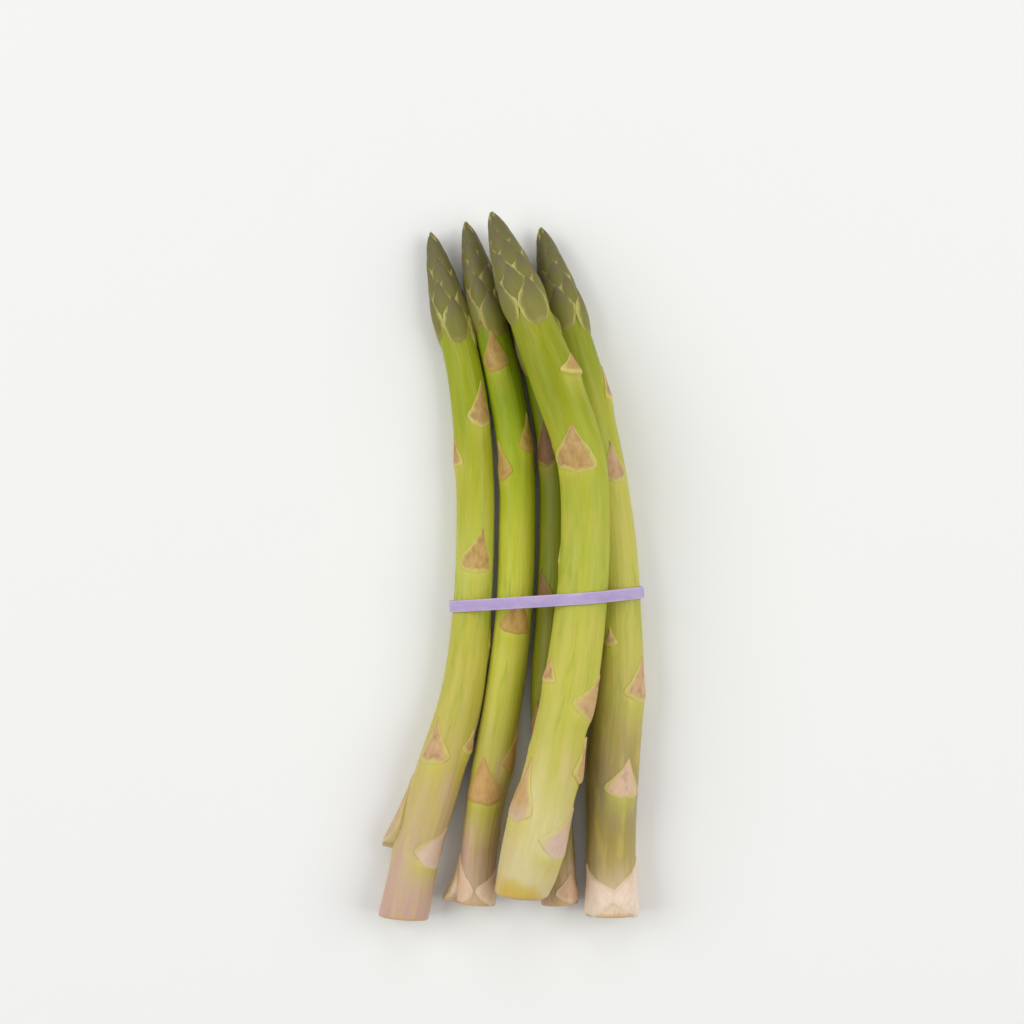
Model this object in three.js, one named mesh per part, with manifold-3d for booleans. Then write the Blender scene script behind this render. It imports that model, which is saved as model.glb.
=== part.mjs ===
// A small tied bundle of asparagus, lying on a table: five cut spears and one flat elastic band.
// Millimetres. +Z is up, +Y runs from the cut ends to the tips, and z = 0 is the table.
// Each spear is one solid: a bent stem, the scale leaves along it, and a tip of overlapping scales.
import * as THREE from 'three';
import { mergeVertices } from 'three/addons/utils/BufferGeometryUtils.js';
import Module from 'manifold-3d';

const wasm = await Module();
wasm.setup();

// How the bundle lies.
const TABLE_PRESS = 0.2; // the flat that a lying spear wears where it meets the table
const NEIGHBOUR_GAP = 0.3; // left clear where two spears touch
const SMALLEST_STEP = 0.03; // finer steps than this are smoothed away where solids join

// The elastic band: a flat strap pulled round all the spears at a slight slant.
const BAND_Y = -12.9;
const BAND_SLANT = 0.074; // rise towards the tips, per millimetre to the right
const BAND_WIDTH = 4;
const BAND_THICKNESS = 0.9;
const BAND_GAP = 0.45;
const BAND_STATIONS = 60;
const BAND_TO_TABLE = 0.05;
const BAND_LIFT = TABLE_PRESS + BAND_THICKNESS + BAND_GAP + BAND_TO_TABLE; // spears rise to pass over it
const BAND_LIFT_REACH = 22;
const BAND_COLOUR = 0xb39fcc;
const BAND_ROUGHNESS = 0.6;
const CROSSING_STEPS = 30; // halvings that find where the band crosses a spear

// The stem.
const STEM_SIDES = 12;
const STEM_STEP = 8.5;
const CUT_ROUNDING = 0.5; // the worn edge of the cut end
const CUT_SLANT_REACH = 25; // a slanted cut is evened out over this much of the stem
const LINE_SAMPLES = 240;
const SKIN_ROUGHNESS = 0.45;

// The tip: a pointed core, covered by scales that spiral up it.
const TIP_LENGTH = 41;
const TIP_STEP = 5;
const TIP_POINT_RADIUS = 0.9;
const TIP_FULLNESS = 0.62; // under 1 keeps the core plump until close to the point
const TIP_SCALES = 21;
const TIP_CROWDING = 1.35; // over 1 crowds the scales towards the point
const TIP_SCALE_LENGTH = [16, 8]; // first and last
const TIP_SCALE_SPREAD = [48, 74]; // half the angle that a scale covers, in degrees
const TIP_SCALE_FOOT = [0.5, 0.3]; // height over the core
const TIP_SCALE_POINT = [1.5, 0.6]; // stands proud, over the feet of the scales above it
const GOLDEN_ANGLE = 137.5;

// A scale leaf on the stem, from its foot to its point. One with more lift than SCALE_LIFT has a spur
// at its foot, which falls away towards the point.
const SCALE_LIFT = 0.95; // the foot stands this proud, as a small ledge
const SCALE_SINK = 1; // rooted this deep in the stem
const SPUR_HOLLOW = 1.5; // over 1 hollows the outline of a spur
const SCALE_BOW = 0.12; // how far the middle of the foot hangs back, as a share of the length
const SCALE_CROWN = 0.3; // how far its sides lie under its middle, as a share of the height
const SCALE_ROOT = 0.8; // share of its width that is rooted in the stem
const SCALE_COLUMNS = 4; // points across a scale
const SCALE_ROWS = [ // share of the length, of the spread, and of SCALE_LIFT
  [0, 0.86, 1],
  [0.18, 0.98, 0.92],
  [0.58, 0.5, 0.72],
  [1, 0.05, 0.5],
];
const TIP_SCALE_ROWS = [ // share of the length and of the spread
  [0, 0.85],
  [0.5, 0.92],
  [1, 0.08],
];

// Scales on the underside, which follow a rule: one every HIDDEN_STEP, to and fro about straight down.
const HIDDEN_START = 20;
const HIDDEN_STEP = 27;
const HIDDEN_SWING = 42;
const HIDDEN_LEAST_SWING = 0.7; // share of the swing that every one of them has
const HIDDEN_SCATTER = 6;
const HIDDEN_LEAN = 12;
const HIDDEN_LENGTH = 14;
const HIDDEN_SPREAD = 44;
const BAND_CLEARANCE = 10; // no underside scale foot this near the band

// A spear's line runs from the cut to the tip as [x, y, radius], with z on the spear that lies on top.
// Its scales are [from the cut, turn from straight up, length, half spread, lean of the point, lift]:
// a positive turn is to the right, lengths are in millimetres and angles in degrees. A cut slant is how
// far the cut end is cut back, per millimetre to the right.
const SPEARS = [
  {
    name: 'spear_front',
    colour: 0xa9ad45,
    spiralStart: 20,
    cutSlant: 0.2,
    line: [
      [3.2, -111.3, 8.9, 19],
      [5.6, -103, 10.1, 20.1],
      [7.9, -92, 10.4, 21.4],
      [11, -80, 9.9, 22.2],
      [13.9, -67.5, 9.2, 22.8],
      [16.6, -54.5, 8.8, 22.6],
      [19.5, -42.7, 9.2, 21.8],
      [22.9, -18.9, 8.8, 20.4],
      [24.9, 8.3, 8.3, 20],
      [23.5, 35.5, 8.3, 20.8],
      [14.6, 62.7, 8.3, 21],
      [3.9, 89.9, 6.9, 19.2],
      [-7, 119.9, 6.1, 15.5],
    ],
    scales: [
      [17.2, 55, 16.8, 54, 30],
      [27, -61, 20, 42, 6, 1.2],
      [43, 82, 14, 36, 4, 1.7],
      [64.3, 49, 14.2, 48, 33],
      [73, -66, 9, 28, 8],
      [114, -120, 12, 34, 0],
      [147.5, -25, 15, 60, 25],
      [177.5, 56, 7, 44, 12, 1.8],
    ],
  },
  {
    name: 'spear_left',
    colour: 0xb5aa55,
    spiralStart: 95,
    cutSlant: 0.13,
    line: [
      [-37.1, -120.9, 8.5],
      [-32, -97.1, 8],
      [-25.3, -73.3, 8.2],
      [-17.3, -46.1, 7.4],
      [-13.8, -18.9, 6.6],
      [-12.5, 8.3, 6.5],
      [-12.8, 35.5, 6.5],
      [-15.5, 62.7, 6.2],
      [-21.1, 86.5, 5.6],
      [-27.9, 114, 5.1],
    ],
    scales: [
      [21, 32, 14, 48, 40],
      [26, -98, 22, 32, 0, 4.8],
      [55, -24, 15, 38, -28],
      [61, 66, 8, 26, -6],
      [96, 106, 12, 32, 0],
      [122, 4, 14, 56, 20],
      [158, -66, 10, 30, -6],
      [172, 30, 14, 44, 20],
    ],
  },
  {
    name: 'spear_right',
    colour: 0x9c9550,
    spiralStart: 160,
    line: [
      [34.1, -119.9, 8.8],
      [34, -93.7, 8.4],
      [34.8, -66.5, 9],
      [36.8, -42.7, 8.5],
      [36.6, -18.9, 7.8],
      [35.2, 8.3, 7.3],
      [31, 35.5, 7.3],
      [24.6, 62.7, 7.2],
      [16.8, 89.9, 6.4],
      [9.9, 115.6, 5.6],
    ],
    scales: [
      [0.4, -38, 16, 58, -40],
      [0.4, 44, 18, 58, 42],
      [42, 24, 12.5, 46, 10],
      [75, 48, 14, 42, 16],
      [93, -25, 6, 18, 0],
      [122, -70, 12, 34, 0],
      [149, 26, 13, 38, 4],
      [176, 85, 11, 32, 0],
    ],
  },
  {
    name: 'spear_centre_left',
    colour: 0x8f9c3c,
    spiralStart: 240,
    line: [
      [-12.4, -116.4, 6.6],
      [-10.7, -93.7, 6.2],
      [-6.9, -69.9, 6.8],
      [-2.9, -46.1, 6.55],
      [0.6, -18.9, 6.35],
      [1.8, 8.3, 6.3],
      [1.6, 35.5, 6.2],
      [-2.6, 62.7, 6.2],
      [-9.1, 89.9, 5.6],
      [-15.8, 117.6, 5.2],
    ],
    scales: [
      [0.4, -38, 15, 36, -46],
      [0.4, 40, 11, 52, 34],
      [0.4, -98, 15, 30, 0, 5],
      [36.2, -12, 14.5, 64, -16],
      [48.5, 66, 13, 36, 6],
      [95.3, 7, 12, 56, 13],
      [147.5, -50, 13, 38, -10],
      [156.5, 50, 12, 38, 10],
      [185.5, -18, 14, 46, 16],
    ],
  },
  {
    name: 'spear_back',
    colour: 0x747d2c,
    spiralStart: 310,
    line: [
      [16.5, -116.5, 6.3],
      [14.7, -90.3, 6.3],
      [13.4, -66.5, 6.3],
      [12.8, -42.7, 6.3],
      [14.3, -18.9, 6.3],
      [15.5, 8.3, 6.2],
      [15, 35.5, 6],
      [11.2, 59.3, 5.8],
      [5.6, 83.1, 5.5],
      [-0.2, 106.9, 4.9],
    ],
    scales: [
      [0.4, 32, 10, 48, 14, 1.2],
      [40, 98, 13, 36, 0],
      [58, -40, 12, 40, 0],
      [105, -34, 10, 30, -20],
      [152, -40, 16, 48, 24],
      [172, 40, 12, 38, 0],
    ],
  },
];

const SEED = 12;

// The same stream of numbers from 0 to 1 on every run.
function seededRandom(seed) {
  let state = seed;
  return () => {
    state = (state * 1664525 + 1013904223) % 4294967296;
    return state / 4294967296;
  };
}

const radians = THREE.MathUtils.degToRad;
const mix = THREE.MathUtils.lerp;
const UP = new THREE.Vector3(0, 0, 1);

// Height of the centre of a spear that lies on the table and passes over the band.
function lyingHeight(y, radius) {
  const lift = BAND_LIFT * Math.exp(-(((y - BAND_Y) / BAND_LIFT_REACH) ** 2));
  return radius - TABLE_PRESS + lift;
}

// How a spear runs: its length, and its centre, radius and directions at any distance from the cut.
function traceSpear({ line, cutSlant = 0 }) {
  const places = line.map(([x, y, , z = 0]) => new THREE.Vector3(x, y, z));
  const girths = line.map(([, , radius]) => new THREE.Vector3(radius, 0, 0));
  const placeCurve = new THREE.CatmullRomCurve3(places, false, 'catmullrom');
  const girthCurve = new THREE.CatmullRomCurve3(girths, false, 'catmullrom');
  const liesOnTable = line[0].length === 3;
  const samples = [];
  let length = 0;
  for (let i = 0; i <= LINE_SAMPLES; i++) {
    const centre = placeCurve.getPoint(i / LINE_SAMPLES);
    const radius = girthCurve.getPoint(i / LINE_SAMPLES).x;
    if (liesOnTable) centre.z = lyingHeight(centre.y, radius);
    if (i > 0) length += centre.distanceTo(samples[i - 1].centre);
    samples.push({ centre, radius, along: length });
  }

  function at(along) {
    let i = 1;
    while (i < LINE_SAMPLES && samples[i].along < along) i++;
    const [a, b] = [samples[i - 1], samples[i]];
    const share = (along - a.along) / (b.along - a.along);
    const forward = b.centre.clone().sub(a.centre).normalize();
    const up = UP.clone().addScaledVector(forward, -UP.dot(forward)).normalize();
    const right = forward.clone().cross(up);
    const centre = a.centre.clone().lerp(b.centre, share);
    const radius = mix(a.radius, b.radius, share) * tipTaper(length - along);
    const slant = cutSlant * Math.max(0, 1 - along / CUT_SLANT_REACH) ** 2;
    return { centre, forward, up, right, radius: Math.max(radius, TIP_POINT_RADIUS), slant };
  }

  return { length, at };
}

// Share of the stem's radius left at a distance back from the tip.
function tipTaper(back) {
  const share = THREE.MathUtils.clamp(back / TIP_LENGTH, 0, 1);
  return Math.sin((share * Math.PI) / 2) ** TIP_FULLNESS;
}

// A point at a distance from the cut, a turn from straight up, and a height over the stem's surface.
function surfacePoint(trace, along, turn, height) {
  const { centre, forward, up, right, radius, slant } = trace.at(along);
  const reach = radius + height;
  const sideways = reach * Math.sin(radians(turn));
  return centre
    .clone()
    .addScaledVector(up, reach * Math.cos(radians(turn)))
    .addScaledVector(right, sideways)
    .addScaledVector(forward, slant * sideways);
}

// A closed solid through rings of points that run clockwise as seen from the first ring's outer side.
// A looped loft joins its last ring to its first and has no ends.
function loft(rings, looped = false) {
  const count = rings[0].length;
  const points = rings.flat();
  const faces = [];
  const joins = looped ? rings.length : rings.length - 1;
  for (let j = 0; j < joins; j++) {
    const here = j * count;
    const next = ((j + 1) % rings.length) * count;
    for (let i = 0; i < count; i++) {
      const k = (i + 1) % count;
      faces.push(here + i, here + k, next + k, here + i, next + k, next + i);
    }
  }
  if (!looped) {
    closeEnd(points, faces, 0, count, false);
    closeEnd(points, faces, (rings.length - 1) * count, count, true);
  }
  const geometry = new THREE.BufferGeometry();
  geometry.setAttribute('position', new THREE.Float32BufferAttribute(points.flatMap((p) => p.toArray()), 3));
  geometry.setIndex(faces);
  return toManifold(geometry);
}

// A fan of faces over one end ring.
function closeEnd(points, faces, start, count, isLast) {
  const middle = new THREE.Vector3();
  for (let i = 0; i < count; i++) middle.addScaledVector(points[start + i], 1 / count);
  const hub = points.push(middle) - 1;
  for (let i = 0; i < count; i++) {
    const [a, b] = [start + i, start + ((i + 1) % count)];
    if (isLast) faces.push(hub, a, b);
    else faces.push(hub, b, a);
  }
}

function toManifold(geometry) {
  geometry.deleteAttribute('normal');
  geometry.deleteAttribute('uv');
  const merged = mergeVertices(geometry);
  return new wasm.Manifold(
    new wasm.Mesh({
      numProp: 3,
      vertProperties: new Float32Array(merged.attributes.position.array),
      triVerts: new Uint32Array(merged.index.array),
    }),
  );
}

function toMesh(solid, name, colour, roughness) {
  const { vertProperties, triVerts } = solid.getMesh();
  const geometry = new THREE.BufferGeometry();
  geometry.setAttribute('position', new THREE.BufferAttribute(new Float32Array(vertProperties), 3));
  geometry.setIndex(new THREE.BufferAttribute(new Uint32Array(triVerts), 1));
  geometry.computeVertexNormals();
  const material = new THREE.MeshStandardMaterial({ color: colour, roughness, metalness: 0 });
  const mesh = new THREE.Mesh(geometry, material);
  mesh.name = name;
  return mesh;
}

// The bare stem and the tapered core of the tip, with a flat cut end.
function stemSolid(trace, grow) {
  const tipStart = trace.length - TIP_LENGTH;
  const stemSteps = Math.round(tipStart / STEM_STEP);
  const tipSteps = Math.round(TIP_LENGTH / TIP_STEP);
  const stations = [[0, -CUT_ROUNDING]];
  for (let j = 0; j < stemSteps; j++) stations.push([mix(CUT_ROUNDING, tipStart, j / stemSteps), 0]);
  for (let j = 0; j <= tipSteps; j++) stations.push([mix(tipStart, trace.length, j / tipSteps), 0]);
  return loft(
    stations.map(([along, height]) => {
      const turns = Array.from({ length: STEM_SIDES }, (_, i) => ((i + 0.5) * 360) / STEM_SIDES);
      return turns.map((turn) => surfacePoint(trace, along, turn, height + grow));
    }),
  );
}

// One scale leaf: a pointed shield that hugs the stem. Each row is [distance, half spread, height].
function shieldSolid(trace, rows, turn, lean, bow, grow) {
  const last = rows.length - 1;
  const rings = rows.map(([distance, spread, height], j) => {
    const along = distance + grow * Math.sign(j / last - 0.5);
    const half = spread + THREE.MathUtils.radToDeg(grow / trace.at(along).radius);
    const middle = turn + (lean * j) / last;
    const outer = Array.from({ length: SCALE_COLUMNS }, (_, i) => {
      const across = mix(-1, 1, i / (SCALE_COLUMNS - 1));
      const back = bow * (1 - across ** 2) * (1 - j / last) ** 2;
      const crown = height * (1 - SCALE_CROWN * across ** 2);
      return surfacePoint(trace, along - back, middle + across * half, crown + grow);
    });
    const inner = [1, -1].map((across) =>
      surfacePoint(trace, along, middle + across * half * SCALE_ROOT, -SCALE_SINK),
    );
    return [...outer, ...inner];
  });
  return loft(rings);
}

function stemScaleSolid(trace, [along, turn, length, spread, lean, lift = SCALE_LIFT], grow) {
  const foot = Math.max(along, SCALE_BOW * length + CUT_ROUNDING);
  const rows = SCALE_ROWS.map(([share, width, height]) => [
    foot + share * length,
    spread * width,
    SCALE_LIFT * height + (lift - SCALE_LIFT) * (1 - share) ** SPUR_HOLLOW,
  ]);
  return shieldSolid(trace, rows, turn, lean, SCALE_BOW * length, grow);
}

function tipScaleSolids(trace, spiralStart, grow) {
  return Array.from({ length: TIP_SCALES }, (_, k) => {
    const share = k / (TIP_SCALES - 1);
    const length = mix(...TIP_SCALE_LENGTH, share);
    const reach = TIP_LENGTH - TIP_SCALE_LENGTH[1];
    const along = trace.length - TIP_LENGTH + reach * (1 - (1 - share) ** TIP_CROWDING);
    const spread = mix(...TIP_SCALE_SPREAD, share);
    const rows = TIP_SCALE_ROWS.map(([part, width]) => [
      along + part * length,
      spread * width,
      mix(mix(...TIP_SCALE_FOOT, share), mix(...TIP_SCALE_POINT, share), part),
    ]);
    return shieldSolid(trace, rows, spiralStart + k * GOLDEN_ANGLE, 0, 0, grow);
  });
}

// Scales on the underside of the stem, clear of the band.
function undersideScales(trace, random) {
  const scales = [];
  const end = trace.length - TIP_LENGTH - HIDDEN_STEP / 2;
  for (let along = HIDDEN_START; along < end; along += HIDDEN_STEP) {
    const foot = along + HIDDEN_SCATTER * (random() - 0.5);
    const side = scales.length % 2 ? 1 : -1;
    const turn = 180 + side * HIDDEN_SWING * mix(HIDDEN_LEAST_SWING, 1, random());
    scales.push([foot, turn, HIDDEN_LENGTH, HIDDEN_SPREAD, HIDDEN_LEAN * (random() - 0.5)]);
  }
  return scales.filter(([foot]) => {
    const { y } = trace.at(foot + HIDDEN_LENGTH / 2).centre;
    return Math.abs(y - BAND_Y) > BAND_CLEARANCE + HIDDEN_LENGTH / 2;
  });
}

// A whole spear, or the same spear thickened by grow all over.
function spearSolid(spear, grow = 0) {
  const trace = traceSpear(spear);
  const scales = [...spear.scales, ...undersideScales(trace, seededRandom(SEED + spear.spiralStart))];
  return wasm.Manifold.union([
    stemSolid(trace, grow),
    ...scales.map((scale) => stemScaleSolid(trace, scale, grow)),
    ...tipScaleSolids(trace, spear.spiralStart, grow),
  ]);
}

// The largest of the bodies that a cut leaves, without its slivers.
function largestBody(solid) {
  const tidy = solid.asOriginal().simplify(SMALLEST_STEP);
  return tidy.decompose().sort((a, b) => b.volume() - a.volume())[0];
}

// A slab whose top face is the table.
function tableSlab() {
  const [width, depth, height] = [200, 400, 40];
  const slab = new THREE.BoxGeometry(width, depth, height).translate(0, 0, -height / 2);
  return toManifold(slab);
}

// Where the band crosses a spear: the centre and radius of the spear's section there.
function bandCrossing(spear) {
  const trace = traceSpear(spear);
  let [low, high] = [0, trace.length];
  for (let i = 0; i < CROSSING_STEPS; i++) {
    const middle = (low + high) / 2;
    const { centre } = trace.at(middle);
    if (centre.y < BAND_Y + BAND_SLANT * centre.x) low = middle;
    else high = middle;
  }
  return trace.at(low);
}

// The band: a strap on the tightest loop round the spears' sections.
function bandSolid() {
  const crossings = SPEARS.map(bandCrossing);
  const rings = Array.from({ length: BAND_STATIONS }, (_, i) => {
    const angle = (i * 2 * Math.PI) / BAND_STATIONS;
    const out = new THREE.Vector3(Math.sin(angle), 0, Math.cos(angle));
    const reach = ({ centre, radius }) => centre.dot(out) + radius;
    const outermost = crossings.reduce((a, b) => (reach(b) > reach(a) ? b : a));
    const corner = (height, ahead) => {
      const point = outermost.centre.clone().addScaledVector(out, outermost.radius + BAND_GAP + height);
      point.y = BAND_Y + BAND_SLANT * point.x + ahead;
      return point;
    };
    const half = BAND_WIDTH / 2;
    return [
      corner(BAND_THICKNESS, half),
      corner(BAND_THICKNESS, -half),
      corner(0, -half),
      corner(0, half),
    ];
  });
  return loft(rings, true);
}

// Each spear gives way to the ones already laid, and is flat where it presses on the table.
function buildSpears() {
  const laid = [];
  const table = tableSlab();
  return SPEARS.map((spear) => {
    const pressed = spearSolid(spear).subtract(table);
    const solid = largestBody(laid.reduce((rest, other) => rest.subtract(other), pressed));
    laid.push(spearSolid(spear, NEIGHBOUR_GAP));
    return toMesh(solid, spear.name, spear.colour, SKIN_ROUGHNESS);
  });
}

const bundle = new THREE.Group();
bundle.add(...buildSpears());
bundle.add(toMesh(bandSolid(), 'elastic_band', BAND_COLOUR, BAND_ROUGHNESS));

export default bundle;
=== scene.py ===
"""A tied bundle of asparagus, dressed: five cut spears with scale leaves, and one elastic band.

Each spear is made flat, as a sheet of skin with its scales laid on it. The sheet is rolled up into
a straight rod, and the rod is bent along the spear's own line, which is the line of its CAD node.
Lengths are metres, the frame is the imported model's: +Z up, +Y from the cut ends to the tips.
"""

import logging
import math
import random
from collections import Counter
from contextlib import contextmanager
from dataclasses import dataclass, field, replace
from enum import Enum
from typing import Iterable, Iterator, Mapping, Sequence, TypeVar

import bpy
import numpy as np
from mathutils import Matrix, Vector


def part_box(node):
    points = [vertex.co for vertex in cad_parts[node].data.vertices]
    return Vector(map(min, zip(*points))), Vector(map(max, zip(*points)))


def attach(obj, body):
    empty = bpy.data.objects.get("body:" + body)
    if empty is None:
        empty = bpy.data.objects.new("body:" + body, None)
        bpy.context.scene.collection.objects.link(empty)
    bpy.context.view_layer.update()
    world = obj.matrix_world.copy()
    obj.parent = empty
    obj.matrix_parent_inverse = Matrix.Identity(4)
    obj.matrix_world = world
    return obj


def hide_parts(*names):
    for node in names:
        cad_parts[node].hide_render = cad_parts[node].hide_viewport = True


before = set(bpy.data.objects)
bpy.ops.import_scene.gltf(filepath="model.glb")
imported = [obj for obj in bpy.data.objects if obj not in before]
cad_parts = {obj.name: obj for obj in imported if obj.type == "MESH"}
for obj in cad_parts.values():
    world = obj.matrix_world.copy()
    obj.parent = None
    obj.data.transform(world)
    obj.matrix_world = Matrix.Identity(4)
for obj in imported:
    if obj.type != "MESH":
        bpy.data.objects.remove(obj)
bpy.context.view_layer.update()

log = logging.getLogger("asparagus")

MM = 0.001
Colour = tuple[float, float, float, float]
ColourRun = tuple[tuple[float, Colour], ...]
Pair = tuple[float, float]
Triple = tuple[float, float, float]
Row = TypeVar("Row")
Piece = bpy.types.Object
Material = bpy.types.Material
Socket = bpy.types.NodeSocket
Array = np.ndarray


# ---------- helpers


def tint(red: int, green: int, blue: int) -> Colour:
    """Turn a screen colour into the linear colour that shaders work in.

    Args:
        red: Its red, 0 to 255.
        green: Its green.
        blue: Its blue.

    Returns:
        The linear colour, opaque.
    """
    screen = (shade / 255 for shade in (red, green, blue))
    linear = (((s + 0.055) / 1.055) ** 2.4 if s > 0.04045 else s / 12.92 for s in screen)
    return (*linear, 1.0)


def colour_run(*rows: tuple[float, int, int, int]) -> ColourRun:
    """Return a run of colour from rows of place, red, green and blue."""
    return tuple((place, tint(*shade)) for place, *shade in rows)


def rows_of(kind: type[Row], *rows: Sequence[float]) -> tuple[Row, ...]:
    """Make one of a kind from each row of its fields."""
    return tuple(kind(*row) for row in rows)


def blend(start: float, end: float, share: float) -> float:
    """Return the value a share of the way from start to end."""
    return start + (end - start) * share


def deselect_all() -> None:
    """Leave object mode with nothing selected."""
    if bpy.context.object and bpy.context.object.mode != "OBJECT":
        bpy.ops.object.mode_set(mode="OBJECT")
    bpy.ops.object.select_all(action="DESELECT")


def pick(piece: Piece) -> None:
    """Select one piece alone and make it active.

    Args:
        piece: The object to work on.
    """
    deselect_all()
    piece.select_set(True)
    bpy.context.view_layer.objects.active = piece


def points_of(piece: Piece) -> Array:
    """Read where a piece's points are.

    Args:
        piece: The mesh object.

    Returns:
        Rows of x, y, z.
    """
    flat = np.empty(len(piece.data.vertices) * 3, dtype=np.float32)
    piece.data.vertices.foreach_get("co", flat)
    return flat.reshape(-1, 3).astype(float)


def move_points(piece: Piece, points: Array) -> None:
    """Put a piece's points where the rows of x, y, z say."""
    piece.data.vertices.foreach_set("co", points.astype(np.float32).ravel())
    piece.data.update()


@contextmanager
def editing(
    piece: Piece, chosen: Iterable[int] | None = None, kind: str = "VERT"
) -> Iterator[None]:
    """Edit a piece with only its chosen points or faces selected, then go back to object mode.

    Args:
        piece: The piece to edit.
        chosen: Their numbers, or None for all.
        kind: VERT to choose points, FACE to choose faces.

    Yields:
        Nothing: the work is done in between.
    """
    pick(piece)
    bpy.ops.object.mode_set(mode="EDIT")
    bpy.ops.mesh.select_mode(type=kind)
    bpy.ops.mesh.select_all(action="SELECT" if chosen is None else "DESELECT")
    if chosen is not None:
        bpy.ops.object.mode_set(mode="OBJECT")
        parts = piece.data.polygons if kind == "FACE" else piece.data.vertices
        mask = np.zeros(len(parts), dtype=bool)
        mask[list(chosen)] = True
        parts.foreach_set("select", mask)
        bpy.ops.object.mode_set(mode="EDIT")
        bpy.ops.mesh.select_mode(type=kind)
    yield
    bpy.ops.object.mode_set(mode="OBJECT")


def add_object(name: str, data: bpy.types.ID) -> Piece:
    """Add an object to the scene.

    Args:
        name: Its name.
        data: The data that it holds.

    Returns:
        The object.
    """
    made = bpy.data.objects.new(name, data)
    bpy.context.scene.collection.objects.link(made)
    return made


def settle(piece: Piece, further: Matrix = Matrix.Identity(4)) -> None:
    """Carry a piece's place into its mesh, and then a further place if one is given."""
    piece.data.transform(further @ piece.matrix_world)
    piece.matrix_world = Matrix.Identity(4)


def flat_grid(along: int, across: int, place: Matrix) -> Piece:
    """Add a flat grid that faces -Y.

    Args:
        along: Its number of cells along X.
        across: Its number of cells along Z.
        place: What carries it from one unit square to its size and place.

    Returns:
        The grid.
    """
    deselect_all()
    bpy.ops.mesh.primitive_grid_add(
        x_subdivisions=along, y_subdivisions=across, size=1, rotation=(math.pi / 2, 0, 0)
    )
    grid = bpy.context.object
    settle(grid, place)
    return grid


def add_attribute(piece: Piece, name: str, values: Array) -> None:
    """Store a number or a vector on every point of a piece.

    Args:
        piece: The mesh object.
        name: What materials read it by.
        values: One number or one row of three for each point.
    """
    is_vector = values.ndim == 2
    layer = piece.data.attributes.new(name, "FLOAT_VECTOR" if is_vector else "FLOAT", "POINT")
    layer.data.foreach_set("vector" if is_vector else "value", values.astype(np.float32).ravel())


def apply_modifier(piece: Piece, kind: str, **settings: object) -> None:
    """Add a modifier, set it and apply it.

    Args:
        piece: The object to change.
        kind: The modifier's type.
        settings: Its settings by name.
    """
    pick(piece)
    modifier = piece.modifiers.new(kind.title(), kind)
    for name, value in settings.items():
        setattr(modifier, name, value)
    bpy.ops.object.modifier_apply(modifier=modifier.name)


# ---------- shaders


class Signal:
    """A number that a shader socket carries, with arithmetic that adds Math nodes."""

    def __init__(self, bench: "Bench", socket: Socket) -> None:
        """Wrap one output socket of a bench's node tree."""
        self.bench = bench
        self.socket = socket

    def _math(self, operation: str, first: object, second: object = 0.0) -> "Signal":
        """Add one Math node and return its result."""
        return self.bench.node("ShaderNodeMath", {"operation": operation}, {0: first, 1: second})

    def __add__(self, other: object) -> "Signal":
        """Return the sum."""
        return self._math("ADD", self, other)

    def __sub__(self, other: object) -> "Signal":
        """Return the difference."""
        return self._math("SUBTRACT", self, other)

    def __rsub__(self, other: object) -> "Signal":
        """Return the difference the other way round."""
        return self._math("SUBTRACT", other, self)

    def __mul__(self, other: object) -> "Signal":
        """Return the product."""
        return self._math("MULTIPLY", self, other)

    def __truediv__(self, other: object) -> "Signal":
        """Return the quotient."""
        return self._math("DIVIDE", self, other)

    __radd__ = __add__
    __rmul__ = __mul__

    def size(self) -> "Signal":
        """Return the value without its sign."""
        return self._math("ABSOLUTE", self)

    def between(
        self, low: float, high: float, to_low: float = 0.0, to_high: float = 1.0
    ) -> "Signal":
        """Ease smoothly from to_low at low to to_high at high.

        Args:
            low: Where the ease starts.
            high: Where it ends.
            to_low: The result at and before low.
            to_high: The result at and after high.

        Returns:
            The eased number.
        """
        values = {0: self, 1: low, 2: high, 3: to_low, 4: to_high}
        return self.bench.node("ShaderNodeMapRange", {"interpolation_type": "SMOOTHSTEP"}, values)


@dataclass(frozen=True)
class Grain:
    """A soft pattern: how tight it is along X, Y and Z, how fine, and how rough."""

    tightness: Triple
    detail: float = 2.0
    roughness: float = 0.5


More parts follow.
